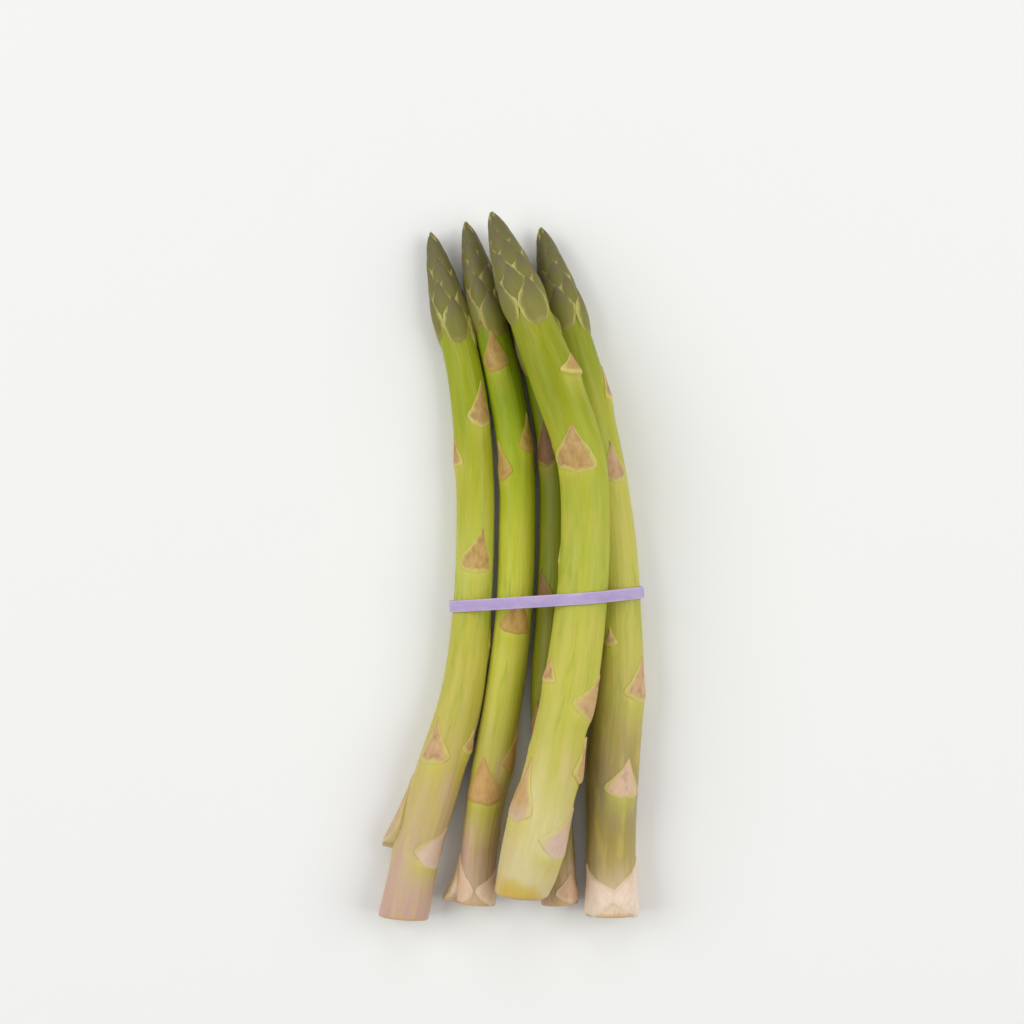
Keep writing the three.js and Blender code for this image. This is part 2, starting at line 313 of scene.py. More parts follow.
class Bench:
    """One material's node tree, and the ways to add to it."""

    def __init__(self, name: str) -> None:
        """Start an empty material with one Principled shader.

        Args:
            name: The material's name.
        """
        self.material = bpy.data.materials.new(name)
        self.material.use_nodes = True
        self.tree = self.material.node_tree
        self.shader = self.tree.nodes["Principled BSDF"]

    def feed(self, socket: Socket, value: object) -> None:
        """Link a signal to a socket, or set the socket's own value.

        Args:
            socket: The socket to feed.
            value: The signal or the value.
        """
        if isinstance(value, Signal):
            self.tree.links.new(value.socket, socket)
        else:
            socket.default_value = value

    def node(
        self,
        kind: str,
        settings: Mapping[str, object] | None = None,
        values: Mapping[str | int, object] | None = None,
        output: str | int = 0,
    ) -> Signal:
        """Add one node.

        Args:
            kind: The node's type.
            settings: Its settings by name; "stops" gives a ramp's places and colours.
            values: Its sockets' values or signals, by name or number.
            output: Which result to return.

        Returns:
            The chosen output as a signal.
        """
        added = self.tree.nodes.new(kind)
        for name, value in (settings or {}).items():
            if name == "stops":
                self.set_stops(added.color_ramp, value)
            else:
                setattr(added, name, value)
        for key, value in (values or {}).items():
            self.feed(added.inputs[key], value)
        return Signal(self, added.outputs[output])

    @staticmethod
    def set_stops(ramp: bpy.types.ColorRamp, stops: ColourRun) -> None:
        """Give a ramp its stops, in order.

        Args:
            ramp: The ramp.
            stops: Places and colours.
        """
        while len(ramp.elements) < len(stops):
            ramp.elements.new(1.0)
        for element, (place, colour) in zip(ramp.elements, stops):
            element.position = place
            element.color = colour

    def ramp(self, signal: Signal, stops: ColourRun) -> Signal:
        """Return a colour that runs through the stops as the signal rises."""
        return self.node("ShaderNodeValToRGB", {"stops": stops}, {0: signal})

    def mix(self, share: object, first: object, second: object, way: str = "MIX") -> Signal:
        """Mix two colours.

        Args:
            share: How much of the second, 0 to 1.
            first: The colour or signal underneath.
            second: The colour or signal on top.
            way: How they mix.

        Returns:
            The mixed colour.
        """
        settings = {"data_type": "RGBA", "blend_type": way}
        return self.node("ShaderNodeMix", settings, {0: share, 6: first, 7: second}, 2)

    def layers(self, base: object, *coats: tuple[object, ...]) -> Signal:
        """Lay coats of colour over a base.

        Args:
            base: The colour or signal underneath.
            coats: The share and the colour of each, and how it mixes if it doesn't cover.

        Returns:
            The colour on top.
        """
        for share, colour, *way in coats:
            base = self.mix(share, base, colour, *way)
        return base

    def attribute(self, name: str, output: str = "Vector") -> Signal:
        """Return what a piece's points hold under a name."""
        return self.node("ShaderNodeAttribute", {"attribute_name": name}, output=output)

    def axes(self, place: Signal) -> list[Signal]:
        """Return the three numbers of a place."""
        split = self.node("ShaderNodeSeparateXYZ", {}, {0: place}).socket.node
        return [Signal(self, output) for output in split.outputs]

    def stretch(self, place: Signal, factors: Triple) -> Signal:
        """Return a place with each axis multiplied by its factor."""
        return self.node("ShaderNodeVectorMath", {"operation": "MULTIPLY"}, {0: place, 1: factors})

    def grain(self, place: Signal, grain: Grain, scale: object = 1.0) -> Signal:
        """Make soft noise of about 0 to 1.

        Args:
            place: Where each point is, in metres.
            grain: How tight, fine and rough the pattern is.
            scale: What the whole pattern is made tighter by.

        Returns:
            The noise.
        """
        values = {"Vector": self.stretch(place, grain.tightness), "Scale": scale}
        values |= {"Detail": grain.detail, "Roughness": grain.roughness}
        return self.node("ShaderNodeTexNoise", {}, values)

    def bump(
        self, height: Signal, distance: float, strength: float, under: Signal | None = None
    ) -> Signal:
        """Return a normal raised by a height.

        Args:
            height: The height, 0 to 1.
            distance: How far a height of 1 stands out, in metres.
            strength: How much of the effect shows.
            under: A normal to raise it from.

        Returns:
            The raised normal.
        """
        values = {"Strength": strength, "Distance": distance, "Height": height}
        if under is not None:
            values["Normal"] = under
        return self.node("ShaderNodeBump", {}, values)

    def finish(self, **sockets: object) -> Material:
        """Feed the shader's sockets and return the material.

        Args:
            sockets: Values or signals by the socket's name, with _ for a space.

        Returns:
            The finished material.
        """
        for name, value in sockets.items():
            self.feed(self.shader.inputs[name.replace("_", " ")], value)
        return self.material


# ---------- finishes


@dataclass(frozen=True)
class SpearFinish:
    """The colours, grains and relief of one spear's skin and scales.

    Runs of colour go from the cut to the tip. The stem's grains are its drift, tone, patches,
    streaks and fibres, in this order.
    """

    stem: ColourRun
    scale: ColourRun
    tip: ColourRun = colour_run((0.8, 142, 136, 60), (0.87, 122, 122, 50), (1, 98, 100, 50))
    green: Colour = tint(140, 158, 30)
    straw: Colour = tint(206, 190, 88)
    pale: Colour = tint(206, 200, 88)
    streak: Colour = tint(176, 186, 96)
    fibre: Colour = tint(150, 150, 90)
    blush: Colour = tint(200, 163, 150)
    rim: Colour = tint(206, 160, 112)
    foot_glow: Colour = tint(200, 193, 80)
    scale_foot: Colour = tint(206, 194, 104)
    low_scale_foot: Colour = tint(226, 204, 168)
    low_scale_rim: Colour = tint(232, 208, 180)
    scale_vein: Colour = tint(150, 104, 76)
    scale_bloom: Colour = tint(216, 180, 146)
    scale_dried: Colour = tint(182, 160, 112)
    tip_margin: Colour = tint(186, 178, 104)
    tip_point: Colour = tint(112, 86, 84)
    foot_slant: float = 0.0
    stem_grains: tuple[Grain, ...] = (
        Grain((24, 1.3, 1.3), 3.0),
        Grain((60, 2.6, 2.6), 3.0, 0.55),
        Grain((38, 1.7, 1.7), 4.0, 0.6),
        Grain((60, 9, 9), 4.0, 0.6),
        Grain((60, 44, 44)),
    )
    rib_grain: Grain = Grain((10, 5, 5))
    skin_grain: Grain = Grain((40, 40, 40), 3.0, 0.6)
    blotch_grain: Grain = Grain((260, 3.2, 3.2), 4.0, 0.6)
    vein_grain: Grain = Grain((1.6, 22, 1), 3.0, 0.6)
    rib_height: float = 0.4 * MM
    skin_height: float = 0.03 * MM
    vein_height: float = 0.1 * MM

    def stem_colour(self, bench: Bench, rod: Signal, length: float) -> Signal:
        """Colour living skin: a run along the spear, with a blush low down, and streaks.

        Args:
            bench: The material being made.
            rod: Where a point was on the straight rod.
            length: The spear's length, in metres.

        Returns:
            The colour.
        """
        from_cut, leftward, _ = bench.axes(rod)
        along = from_cut / length
        grains = (bench.grain(rod, grain) for grain in self.stem_grains)
        drift, tone, patches, streaks, fibres = grains
        slanted = along - leftward * self.foot_slant
        worn = (from_cut + (drift - 0.5) * 3 * MM).between(0.4 * MM, 1.4 * MM, 0.6, 0.0)
        return bench.layers(
            bench.ramp(slanted + (drift - 0.5) * along.between(0.0, 0.2, 0.04, 0.14), self.stem),
            (tone.between(0.5, 0.68) * along.between(0.12, 0.4, 0.0, 0.4), self.green),
            (tone.between(0.32, 0.5, 1.0, 0.0) * along.between(0.4, 0.75, 0.4, 0.15), self.straw),
            (patches.between(0.46, 0.64) * along.between(0.0, 0.42, 0.75, 0.0), self.blush),
            (streaks.between(0.5, 0.72) * 0.12, self.pale),
            (streaks.between(0.28, 0.5, 0.13, 0.0), self.streak, "MULTIPLY"),
            (fibres.between(0.5, 0.75) * 0.1, self.fibre, "MULTIPLY"),
            (worn, self.rim),
        )

    def make_skin(self, name: str, length: float) -> Material:
        """Build the skin of one spear.

        Args:
            name: The material's name.
            length: The spear's length, in metres.

        Returns:
            The material.
        """
        bench = Bench(name)
        rod = bench.attribute("rod")
        glow = bench.attribute("glow", "Fac")
        clear = bench.axes(rod)[0].between(3 * MM, 9 * MM)
        colour = self.stem_colour(bench, rod, length)
        ribs = bench.grain(rod, self.rib_grain)
        raised = bench.bump(ribs, self.rib_height, 0.5)
        return bench.finish(
            Base_Color=bench.mix(glow * clear * 0.5, colour, self.foot_glow),
            Roughness=ribs.between(0.3, 0.7, 0.4, 0.52),
            Normal=bench.bump(bench.grain(rod, self.skin_grain), self.skin_height, 0.5, raised),
            Subsurface_Weight=0.12,
            Subsurface_Radius=(0.9, 1.0, 0.25),
            Subsurface_Scale=1.2 * MM,
            Specular_IOR_Level=0.25,
        )

    def make_scale(self, name: str, length: float) -> Material:
        """Build the scales of one spear: dry and pink in the middle, skin-coloured at the sides.

        Args:
            name: The material's name.
            length: The spear's length, in metres.

        Returns:
            The material.
        """
        bench = Bench(name)
        rod = bench.attribute("rod")
        chance = bench.attribute("chance", "Fac")
        leaf_length, dryness, at_tip = bench.axes(bench.attribute("leaf_kind"))
        leaf = bench.node("ShaderNodeUVMap", {"uv_map": "UVMap"})
        up, sideways, _ = bench.axes(leaf)
        across = (sideways - 0.5).size() * 2
        along = bench.axes(rod)[0] / length
        blotch = bench.grain(rod, self.blotch_grain)
        veins = bench.grain(leaf, self.vein_grain, 1.0 + chance)
        aged = along.between(0.06, 0.3) * (1 - at_tip)
        body = bench.layers(
            bench.ramp(along + (chance - 0.5) * along.between(0.1, 0.4, 0.0, 0.1), self.scale),
            (dryness * 0.65, self.scale_dried),
            (at_tip, bench.ramp(along, self.tip)),
            (veins.between(0.48, 0.78) * 0.4, self.scale_vein),
            (blotch.between(0.34, 0.5, 0.5, 0.0) * aged, self.scale_vein),
            (blotch.between(0.5, 0.66) * (0.34 - at_tip * 0.3), self.scale_bloom),
            (up.between(0.35, 1.0) * at_tip * 0.55, self.tip_point),
        )
        margin = bench.layers(
            self.stem_colour(bench, rod, length),
            (along.between(0.02, 0.1, 0.7, 0.0), self.low_scale_rim),
            (along.between(0.04, 0.24) * 0.8, self.scale_foot),
            (at_tip * 0.45, self.tip_margin),
        )
        side = (across + (blotch - 0.5) * 0.5).between(0.64, 0.96)
        from_foot = up * leaf_length + (blotch - 0.5) * 2.4 * MM
        rim_strength = (0.95 - at_tip * 0.8) * along.between(0.04, 0.24, 0.5, 1.0)
        foot = from_foot.between(0.9 * MM, 2.2 * MM, 1.0, 0.0) * rim_strength
        foot_colour = bench.mix(along.between(0.05, 0.15), self.low_scale_foot, self.scale_foot)
        return bench.finish(
            Base_Color=bench.layers(body, (side * 0.9, margin), (foot, foot_colour)),
            Roughness=blotch.between(0.3, 0.7, 0.46, 0.6),
            Normal=bench.bump(veins, self.vein_height, 0.6),
            Subsurface_Weight=0.1,
            Subsurface_Radius=(1.0, 0.7, 0.4),
            Subsurface_Scale=1.0 * MM,
            Specular_IOR_Level=0.3,
        )


@dataclass(frozen=True)
class CutFinish:
    """The cut end: moist cream flesh, dotted with bundles, drying brown at the edge."""

    flesh: Colour = tint(226, 214, 170)
    bundles: Colour = tint(176, 168, 100)
    edge: Colour = tint(196, 164, 124)
    fibre_grain: Grain = Grain((0, 30, 30), 3.0)
    dot_scale: float = 9.0
    relief: float = 0.25 * MM

    def make(self, name: str) -> Material:
        """Build the cut face's material.

        Args:
            name: The material's name.

        Returns:
            The material.
        """
        bench = Bench(name)
        rod = bench.attribute("rod")
        flat = bench.stretch(rod, (0, 1, 1))
        reach = bench.node("ShaderNodeVectorMath", {"operation": "LENGTH"}, {0: flat}, "Value")
        places = {"Vector": flat, "Scale": self.dot_scale, "Randomness": 0.9}
        dots = bench.node("ShaderNodeTexVoronoi", {"feature": "F1"}, places)
        fibres = bench.grain(rod, self.fibre_grain)
        colour = bench.layers(
            self.flesh,
            (dots.between(0.08, 0.3, 1.0, 0.0) * 0.75, self.bundles),
            (reach.between(0.78, 0.98) * 0.85, self.edge),
            (fibres.between(0.45, 0.75) * 0.25, self.bundles),
        )
        return bench.finish(
            Base_Color=colour,
            Roughness=fibres.between(0.3, 0.7, 0.4, 0.6),
            Normal=bench.bump(dots + fibres * 0.5, self.relief, 0.6),
            Subsurface_Weight=0.2,
            Subsurface_Radius=(1.0, 0.8, 0.5),
            Subsurface_Scale=1.5 * MM,
        )


@dataclass(frozen=True)
class RubberFinish:
    """Matt lavender rubber with paler lengthwise streaks of painted sheen, and paler along its
    edges.
    """

    colour: Colour = tint(172, 150, 198)
    painted_sheen: Colour = tint(198, 182, 214)
    edge: Colour = tint(206, 192, 216)
    cloud_grain: Grain = Grain((110, 420, 110), 3.0, 0.6)
    fine_grain: Grain = Grain((300, 2600, 300))
    relief: float = 0.06 * MM

    def make(self, name: str, y: float, slant: float, width: float) -> Material:
        """Build the band's material.

        Args:
            name: The material's name.
            y: Where the band's middle crosses x = 0, in metres.
            slant: Its rise in y for each metre to the right.
            width: Its width, in metres.

        Returns:
            The material.
        """
        bench = Bench(name)
        place = bench.node("ShaderNodeTexCoord", output="Object")
        rightward, forward, _ = bench.axes(place)
        across = (forward - y - rightward * slant).size() / (width / 2)
        cloud = bench.grain(place, self.cloud_grain)
        edge = (across + (cloud - 0.5) * 0.3).between(0.66, 0.94) * 0.5
        # Painted sheen: paler lengthwise streaks laid into the rubber's colour.
        painted_sheen = cloud.between(0.36, 0.68) * 0.5
        return bench.finish(
            Base_Color=bench.layers(self.colour, (painted_sheen, self.painted_sheen), (edge, self.edge)),
            Roughness=cloud.between(0.3, 0.7, 0.5, 0.66),
            Normal=bench.bump(bench.grain(place, self.fine_grain), self.relief, 0.5),
            Subsurface_Weight=0.1,
            Subsurface_Scale=1.0 * MM,
        )


@dataclass(frozen=True)
class FloorFinish:
    """Plain pale floor."""

    colour: Colour = tint(238, 238, 236)

    def make(self, name: str) -> Material:
        """Build the floor's material."""
        return Bench(name).finish(Base_Color=self.colour, Roughness=0.75, Specular_IOR_Level=0.2)


# ---------- spear plans


@dataclass(frozen=True)
class Station:
    """A place on a spear's line, in millimetres, with its height if the spear isn't lying."""

    x: float
    y: float
    radius: float
    z: float | None = None


@dataclass(frozen=True)
class ScalePlace:
    """Where one scale leaf sits on its spear.

    Lengths are in millimetres, and angles in degrees, with the turn measured from straight up and
    positive to the right.
    """

    along: float
    turn: float
    length: float
    spread: float
    lean: float = 0.0
    lift: float = 0.95


@dataclass(frozen=True)
class SpearPlan:
    """One spear: its line, its scales, where its tip's spiral starts, its colours and its cut.

    The cut slant is how far the cut end is cut back, per metre to the right.
    """

    node: str
    spiral_start: float
    line: tuple[Station, ...]
    scales: tuple[ScalePlace, ...]
    finish: SpearFinish
    cut_slant: float = 0.0


LEFT_FINISH = SpearFinish(
    stem=colour_run(
        (0, 194, 158, 146), (0.08, 198, 172, 134), (0.2, 197, 176, 104), (0.3, 190, 180, 80),
        (0.42, 186, 182, 66), (0.5, 186, 192, 80), (0.62, 180, 180, 50), (0.72, 156, 164, 14),
        (0.82, 153, 162, 26), (1, 100, 118, 40),
    ),
    scale=colour_run(
        (0, 226, 202, 182), (0.12, 214, 184, 164), (0.18, 202, 168, 126), (0.3, 194, 158, 106),
        (0.5, 188, 154, 82), (0.74, 182, 148, 84), (1, 178, 146, 84),
    ),
)
CENTRE_FINISH = SpearFinish(
    stem=colour_run(
        (0, 196, 166, 140), (0.08, 184, 156, 116), (0.12, 194, 176, 106), (0.16, 188, 174, 90),
        (0.3, 194, 192, 70), (0.4, 200, 200, 74), (0.55, 182, 187, 44), (0.68, 154, 172, 16),
        (0.8, 128, 148, 8), (1, 98, 116, 38),
    ),
    scale=colour_run(
        (0, 222, 192, 164), (0.1, 210, 174, 134), (0.16, 204, 162, 100), (0.28, 198, 152, 84),
        (0.5, 188, 154, 76), (0.74, 174, 146, 74), (1, 172, 144, 76),
    ),
    foot_glow=tint(190, 188, 56),
    scale_foot=tint(192, 158, 80),
    scale_vein=tint(160, 106, 58),
    scale_bloom=tint(214, 172, 124),
)
# The back spear lies deep between its neighbours. Its colours are painted shade: darker, duller
# copies of a spear's skin and scale colours.
BACK_SHADED_FINISH = SpearFinish(
    stem=colour_run(
        (0, 192, 158, 124), (0.08, 140, 126, 50), (0.3, 114, 114, 8), (0.5, 118, 124, 6),
        (0.8, 98, 112, 6), (1, 88, 104, 24),
    ),
    scale=colour_run(
        (0, 208, 172, 136), (0.3, 140, 102, 58), (0.74, 108, 76, 42), (1, 108, 80, 44),
    ),
    scale_bloom=tint(146, 110, 64),
    scale_vein=tint(110, 72, 40),
    green=tint(86, 104, 4),
    straw=tint(134, 126, 30),
    pale=tint(134, 136, 30),
    foot_glow=tint(146, 134, 48),
    scale_foot=tint(140, 128, 52),
)
FRONT_FINISH = SpearFinish(
    stem=colour_run(
        (0, 204, 174, 80), (0.011, 208, 182, 94), (0.024, 214, 200, 148), (0.12, 214, 202, 138),
        (0.2, 194, 188, 88), (0.3, 194, 190, 76), (0.5, 178, 183, 64), (0.62, 168, 175, 42),
        (0.74, 142, 148, 12), (0.82, 142, 148, 14), (1, 100, 118, 40),
    ),
    scale=colour_run(
        (0, 226, 202, 182), (0.1, 212, 182, 160), (0.135, 196, 160, 104), (0.3, 200, 162, 110),
        (0.5, 192, 155, 94), (0.74, 182, 148, 84), (1, 178, 146, 84),
    ),
    blush=tint(212, 188, 138),
    foot_slant=0.012,
)
RIGHT_GLARE_PAINTED_FINISH = SpearFinish(
    stem=colour_run(
        (0, 226, 202, 180), (0.08, 178, 156, 92), (0.12, 166, 148, 80), (0.16, 154, 138, 98),
        (0.24, 172, 152, 86), (0.32, 190, 180, 94), (0.4, 192, 186, 82), (0.56, 196, 190, 88),
        (0.72, 170, 172, 46), (0.82, 138, 148, 22), (1, 100, 118, 40),
    ),
    # Partly the scales' own dry pink and partly painted glare: lighter and pinker than the scales
    # are, palest at the foot.
    scale=colour_run(
        (0, 238, 218, 198), (0.1, 226, 198, 174), (0.3, 202, 164, 118), (0.5, 194, 160, 116),
        (0.74, 190, 158, 116), (1, 180, 146, 92),
    ),
    blush=tint(172, 154, 114),
)

SPEARS = (
    SpearPlan(
        node="spear_front",
        spiral_start=20,
        line=rows_of(
            Station,
            (3.2, -111.3, 8.9, 19), (5.6, -103, 10.1, 20.1), (7.9, -92, 10.4, 21.4),
            (11, -80, 9.9, 22.2), (13.9, -67.5, 9.2, 22.8), (16.6, -54.5, 8.8, 22.6),
            (19.5, -42.7, 9.2, 21.8), (22.9, -18.9, 8.8, 20.4), (24.9, 8.3, 8.3, 20),
            (23.5, 35.5, 8.3, 20.8), (14.6, 62.7, 8.3, 21), (3.9, 89.9, 6.9, 19.2),
            (-7, 119.9, 6.1, 15.5),
        ),
        scales=rows_of(
            ScalePlace,
            (17.2, 55, 16.8, 54, 30), (27, -61, 20, 42, 6, 1.2), (43, 82, 14, 36, 4, 1.7),
            (64.3, 49, 14.2, 48, 33), (73, -66, 9, 28, 8), (114, -120, 12, 34, 0),
            (147.5, -25, 15, 60, 25), (177.5, 56, 7, 44, 12, 1.8),
        ),
        finish=FRONT_FINISH,
        cut_slant=0.2,
    ),
    SpearPlan(
        node="spear_left",
        spiral_start=95,
        line=rows_of(
            Station,
            (-37.1, -120.9, 8.5), (-32, -97.1, 8), (-25.3, -73.3, 8.2), (-17.3, -46.1, 7.4),
            (-13.8, -18.9, 6.6), (-12.5, 8.3, 6.5), (-12.8, 35.5, 6.5), (-15.5, 62.7, 6.2),
            (-21.1, 86.5, 5.6), (-27.9, 114, 5.1),
        ),
        scales=rows_of(
            ScalePlace,
            (21, 32, 14, 48, 40), (26, -98, 22, 32, 0, 4.8), (55, -24, 15, 38, -28),
            (61, 66, 8, 26, -6), (96, 106, 12, 32, 0), (122, 4, 14, 56, 20), (158, -66, 10, 30, -6),
            (172, 30, 14, 44, 20),
        ),
        finish=LEFT_FINISH,
        cut_slant=0.13,
    ),
    SpearPlan(
        node="spear_right",
        spiral_start=160,
        line=rows_of(
            Station,
            (34.1, -119.9, 8.8), (34, -93.7, 8.4), (34.8, -66.5, 9), (36.8, -42.7, 8.5),
            (36.6, -18.9, 7.8), (35.2, 8.3, 7.3), (31, 35.5, 7.3), (24.6, 62.7, 7.2),
            (16.8, 89.9, 6.4), (9.9, 115.6, 5.6),
        ),
        scales=rows_of(
            ScalePlace,
            (0.4, -38, 16, 58, -40), (0.4, 44, 18, 58, 42), (42, 24, 12.5, 46, 10),
            (75, 48, 14, 42, 16), (93, -25, 6, 18, 0), (122, -70, 12, 34, 0), (149, 26, 13, 38, 4),
            (176, 85, 11, 32, 0),
        ),
        finish=RIGHT_GLARE_PAINTED_FINISH,
    ),
    SpearPlan(
        node="spear_centre_left",
        spiral_start=240,
        line=rows_of(
            Station,
            (-12.4, -116.4, 6.6), (-10.7, -93.7, 6.2), (-6.9, -69.9, 6.8), (-2.9, -46.1, 6.55),
            (0.6, -18.9, 6.35), (1.8, 8.3, 6.3), (1.6, 35.5, 6.2), (-2.6, 62.7, 6.2),
            (-9.1, 89.9, 5.6), (-15.8, 117.6, 5.2),
        ),
        scales=rows_of(
            ScalePlace,
            (0.4, -38, 15, 36, -46), (0.4, 40, 11, 52, 34), (0.4, -98, 15, 30, 0, 5),
            (36.2, -12, 14.5, 64, -16), (48.5, 66, 13, 36, 6), (95.3, 7, 12, 56, 13),
            (147.5, -50, 13, 38, -10), (156.5, 50, 12, 38, 10), (185.5, -18, 14, 46, 16),
        ),
        finish=CENTRE_FINISH,
    ),
    SpearPlan(
        node="spear_back",
        spiral_start=310,
        line=rows_of(
            Station,
            (16.5, -116.5, 6.3), (14.7, -90.3, 6.3), (13.4, -66.5, 6.3), (12.8, -42.7, 6.3),
            (14.3, -18.9, 6.3), (15.5, 8.3, 6.2), (15, 35.5, 6), (11.2, 59.3, 5.8),
            (5.6, 83.1, 5.5), (-0.2, 106.9, 4.9),
        ),
        scales=rows_of(
            ScalePlace,
            (0.4, 32, 10, 48, 14, 1.2), (40, 98, 13, 36, 0), (58, -40, 12, 40, 0),
            (105, -34, 10, 30, -20), (152, -40, 16, 48, 24), (172, 40, 12, 38, 0),
        ),
        finish=BACK_SHADED_FINISH,
    ),
)


# ---------- the spear's line


@dataclass
class SpearLine:
    """The smooth line a spear follows, sampled from its stations as its CAD node is."""

    stations: tuple[Station, ...]
    samples: int = 240
    table_press: float = 0.2
    band_y: float = -12.9
    band_lift: float = 1.6
    band_reach: float = 22.0
    tip_length: float = 41.0
    tip_fullness: float = 0.62
    point_radius: float = 0.35
    centres: Array = field(init=False)
    radii: Array = field(init=False)
    along: Array = field(init=False)

    def __post_init__(self) -> None:
        """Sample the line, its distance from the cut and its radius, in metres."""
        shares = np.linspace(0, 1, self.samples + 1)
        x, y, radius = (
            self.smooth([getattr(station, name) for station in self.stations], shares)
            for name in ("x", "y", "radius")
        )
        if self.stations[0].z is None:
            lift = self.band_lift * np.exp(-(((y - self.band_y) / self.band_reach) ** 2))
            z = radius - self.table_press + lift
        else:
            z = self.smooth([station.z for station in self.stations], shares)
        self.centres = np.column_stack((x, y, z)) * MM
        steps = np.linalg.norm(np.diff(self.centres, axis=0), axis=1)
        self.along = np.concatenate(([0.0], np.cumsum(steps)))
        back = np.clip((self.length - self.along) / (self.tip_length * MM), 0, 1)
        taper = np.sin(back * math.pi / 2) ** self.tip_fullness
        self.radii = np.maximum(radius * taper, self.point_radius) * MM

    @property
    def length(self) -> float:
        """Return the spear's length from cut to tip, in metres."""
        return float(self.along[-1])

    @property
    def start_direction(self) -> Array:
        """Return the direction in which the line leaves the cut."""
        step = self.centres[1] - self.centres[0]
        return step / np.linalg.norm(step)

    @staticmethod
    def smooth(values: Sequence[float], shares: Array) -> Array:
        """Pass a uniform Catmull-Rom curve through values.

        Args:
            values: One value at each station.
            shares: Places along the curve, 0 to 1.

        Returns:
            The value at each place.
        """
        known = np.array(values, dtype=float)
        padded = np.concatenate(([2 * known[0] - known[1]], known, [2 * known[-1] - known[-2]]))
        place = shares * (len(known) - 1)
        start = np.minimum(place.astype(int), len(known) - 2)
        t = place - start
        before, here, there, after = (padded[start + k] for k in range(4))
        leave, arrive = (there - before) / 2, (after - here) / 2
        bend = 3 * (there - here) - 2 * leave - arrive
        return here + leave * t + bend * t**2 + (2 * (here - there) + leave + arrive) * t**3

    def radius_at(self, along: float) -> float:
        """Return the stem's radius at a distance from the cut, in metres."""
        return float(np.interp(along, self.along, self.radii))

    def at_y(self, y: float) -> tuple[Vector, float]:
        """Find where the line crosses a y.

        Args:
            y: That y, in metres.

        Returns:
            The line's centre and radius there, in metres.
        """
        place = np.interp(y, self.centres[:, 1], self.along)
        centre = [float(np.interp(place, self.along, self.centres[:, k])) for k in range(3)]
        return Vector(centre), self.radius_at(place)

    def curve(self, name: str) -> Piece:
        """Make the line as a curve that a rod can be bent along.

        Args:
            name: The curve object's name.

        Returns:
            The curve, with the stem's radius at each point.
        """
        data = bpy.data.curves.new(name, "CURVE")
        data.dimensions = "3D"
        data.twist_mode = "Z_UP"
        data.use_radius = True
        spline = data.splines.new("POLY")
        spline.points.add(len(self.centres) - 1)
        for point, centre, radius in zip(spline.points, self.centres, self.radii):
            point.co = (*centre, 1.0)
            point.radius = radius
        return add_object(name, data)


# ---------- scale leaves


class ScaleKind(Enum):
    """The shapes a scale leaf takes: place along it, half width and height, each out of 1."""

    STEM = (
        (0.0, 0.84, 0.25), (0.04, 0.95, 0.7), (0.09, 1.0, 0.92), (0.17, 0.98, 1.0),
        (0.32, 0.8, 0.9), (0.47, 0.58, 0.76), (0.62, 0.38, 0.64), (0.78, 0.21, 0.54),
        (0.91, 0.1, 0.46), (1.0, 0.03, 0.42),
    )
    SPURRED = (
        (0.0, 0.72, 0.94), (0.04, 0.84, 1.0), (0.1, 0.95, 0.9), (0.22, 1.0, 0.74),
        (0.38, 0.86, 0.54), (0.52, 0.62, 0.39), (0.68, 0.4, 0.27), (0.82, 0.24, 0.17),
        (0.93, 0.12, 0.12), (1.0, 0.03, 0.09),
    )
    TIP = (
        (0.0, 0.7, 0.0), (0.12, 0.88, 0.3), (0.28, 1.0, 0.62), (0.45, 0.96, 0.86),
        (0.62, 0.8, 0.98), (0.76, 0.57, 1.0), (0.88, 0.32, 0.96), (0.96, 0.12, 0.88),
        (1.0, 0.03, 0.82),
    )

    def at(self, share: float) -> Pair:
        """Return the half width and the height at a share of the length."""
        places, widths, heights = zip(*self.value)
        return float(np.interp(share, places, widths)), float(np.interp(share, places, heights))


@dataclass
class ScalePattern:
    """One scale leaf, modelled flat: one unit long, two wide and one high, facing -Y."""

    kind: ScaleKind
    rows: int = 20
    columns: int = 12
    bow: float = 0.14
    sink: float = 0.5
    leaf: Piece = field(init=False)

    @property
    def margin_drop(self) -> float:
        """Return how far the margins lie under the middle: less at the tip, where they overlap."""
        return 0.35 if self.kind is ScaleKind.TIP else 0.7

    def row_points(self, row: int) -> range:
        """Return the numbers of the points in one row across the scale."""
        return range(row, (self.rows + 1) * (self.columns + 1), self.rows + 1)

    def column_points(self, column: int) -> range:
        """Return the numbers of the points in one column along the scale."""
        start = column * (self.rows + 1)
        return range(start, start + self.rows + 1)

    def build(self) -> Piece:
        """Model the pattern.

        Returns:
            The finished flat scale.
        """
        place = Matrix.Translation((0.5, 0, 0)) @ Matrix.Diagonal((1, 1, 2, 1))
        self.leaf = flat_grid(self.rows, self.columns, place)
        self.leaf.name = f"pattern_{self.kind.name.lower()}"
        self.shape_columns()
        self.shape_rows()
        self.close_back()
        return self.leaf

    def shape_columns(self) -> None:
        """Hang the middle of the foot back, and drop the margins."""
        for column in range(self.columns + 1):
            across = 2 * column / self.columns - 1
            reach = 1 + self.bow * (1 - across**2)
            with editing(self.leaf, self.column_points(column)):
                bpy.ops.transform.resize(value=(reach, 1, 1), center_override=(1, 0, 0))
                bpy.ops.transform.translate(value=(0, self.margin_drop * across**2, 0))

    def shape_rows(self) -> None:
        """Give each row across the scale its width and its height."""
        for row in range(self.rows + 1):
            width, height = self.kind.at(row / self.rows)
            with editing(self.leaf, self.row_points(row)):
                bpy.ops.transform.resize(value=(1, height, width), center_override=(0, 0, 0))
                bpy.ops.transform.translate(value=(0, -height, 0))

    def close_back(self) -> None:
        """Carry the scale's edges down to a flat back, which sits inside the stem."""
        with editing(self.leaf):
            bpy.ops.mesh.extrude_region_move(TRANSFORM_OT_translate={"value": (0, self.sink, 0)})
            bpy.ops.transform.resize(value=(1, 0, 1), center_override=(0, self.sink, 0))
            bpy.ops.mesh.select_all(action="SELECT")
            bpy.ops.mesh.normals_make_consistent(inside=False)


# ---------- spears


